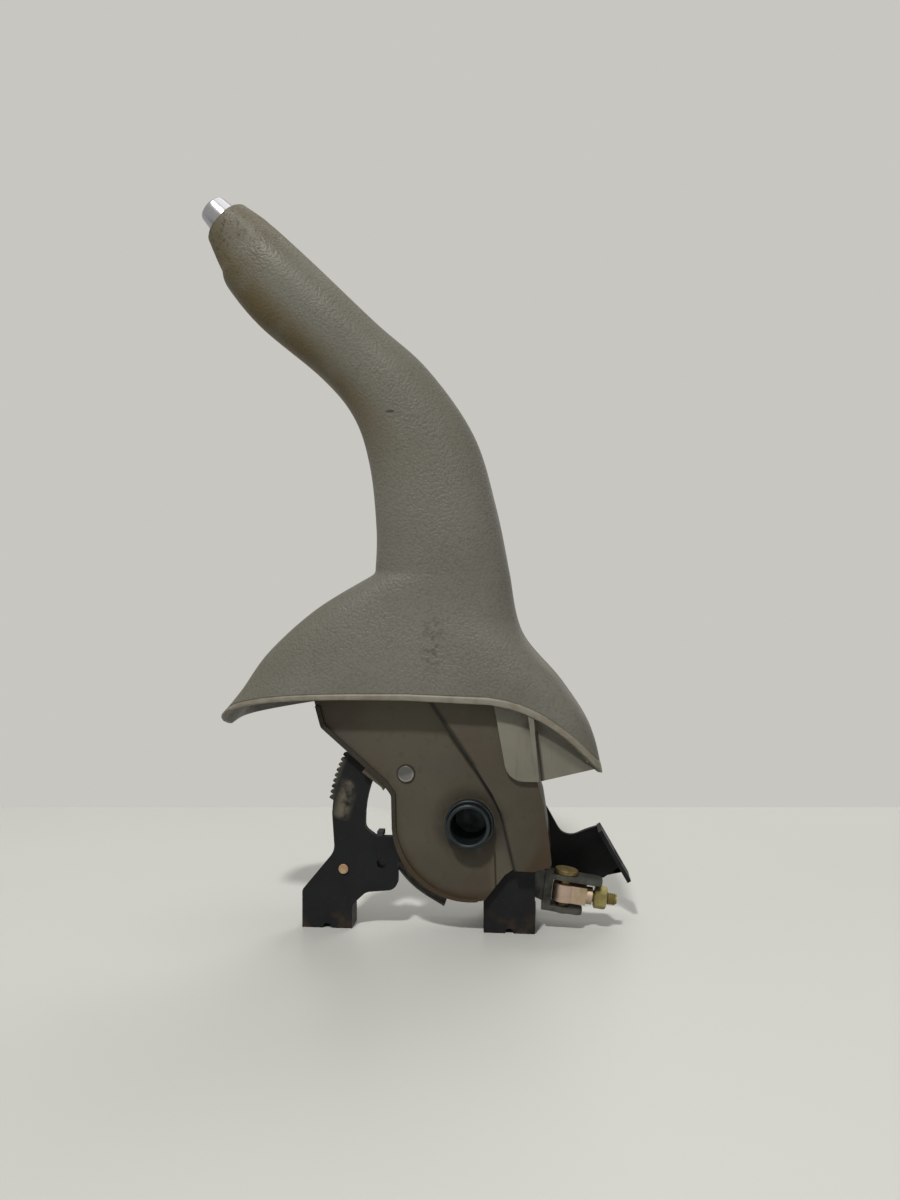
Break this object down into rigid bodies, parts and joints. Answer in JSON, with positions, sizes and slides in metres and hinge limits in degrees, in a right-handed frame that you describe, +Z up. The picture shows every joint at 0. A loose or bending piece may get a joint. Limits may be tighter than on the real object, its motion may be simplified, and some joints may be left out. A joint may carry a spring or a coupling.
{
  "type": "parking brake lever",
  "caption": "Car parking brake lever with a moulded grip cover, push button, toothed base bracket, pawl release and threaded cable end.",
  "frame": {"origin": "middle of the two foot bolt holes, on the floor face", "axes": "+Z up, +X towards the rear of the car, +Y away from the open side of the pivot rivet"},
  "size_m": [0.2163, 0.0569, 0.3662],
  "materials": {
    "black_steel": "semi-gloss black, worn",
    "bare_steel": "dull stamped steel",
    "zinc": "bright zinc",
    "gold_zinc": "yellow passivated zinc",
    "copper": "copper washed",
    "grey_vinyl": "grained grey moulding",
    "chrome": "satin chrome",
    "nylon": "natural nylon",
    "rubber": "black rubber"
  },
  "bodies": {
    "base": {"base_plate": "black_steel", "rear_arm": "black_steel", "pivot_rivet": "black_steel", "pivot_washer": "black_steel", "pivot_spacer": "bare_steel", "spring_leaf": "black_steel", "leaf_rivet": "copper", "stop_block": "rubber"},
    "lever": {"lever_body": "bare_steel", "bush_near": "nylon", "bush_far": "nylon", "spacer_rivet": "zinc", "grip_tube": "bare_steel", "rod_guide": "nylon", "pawl_pin_rivet": "zinc", "cable_pin": "zinc", "pin_clip": "black_steel", "grip_cover": "grey_vinyl", "cover_saddle": "grey_vinyl", "button_spring": "zinc"},
    "release": {"button": "chrome", "release_rod": "zinc"},
    "pawl_body": {"pawl": "black_steel"},
    "yoke": {"cable_yoke": "zinc", "swivel_pin": "gold_zinc"},
    "clevis": {"swivel_clevis": "gold_zinc", "adjuster_rod": "gold_zinc"},
    "nut": {"adjuster_nut": "gold_zinc"}
  },
  "joints": [
    {"name": "lever_pull", "type": "hinge", "parent": "base", "child": "lever", "pos_m": [0.026, -0.009, 0.054], "axis": [0, 1, 0], "range_deg": [-24, 18]},
    {"name": "button_press", "type": "slide", "parent": "lever", "child": "release", "axis": [0.6896, 0, -0.7242], "range_m": [0, 0.006], "stiffness_N_per_m": 400, "springref_m": -0.005},
    {"name": "pawl_lift", "type": "hinge", "parent": "lever", "child": "pawl_body", "pos_m": [-0.01156, -0.009, 0.12464], "axis": [0, 1, 0], "range_deg": [0, 8.2]},
    {"name": "yoke_swing", "type": "hinge", "parent": "lever", "child": "yoke", "pos_m": [0.04, -0.009, 0.033], "axis": [0, 1, 0], "range_deg": [-18.5, 24.5]},
    {"name": "clevis_swivel", "type": "hinge", "parent": "yoke", "child": "clevis", "pos_m": [0.0715, -0.009, 0.018], "axis": [0.1392, 0, 0.9903], "range_deg": [-8, 8]},
    {"name": "nut_turn", "type": "hinge", "parent": "clevis", "child": "nut", "pos_m": [0.08933, -0.009, 0.0155], "axis": [0.9903, 0, -0.1392], "continuous": true}
  ],
  "couplings": [
    {"joint": "pawl_lift", "follows": "button_press", "rad_per_m": 23.27},
    {"joint": "yoke_swing", "follows": "lever_pull", "ratio": -1}
  ]
}
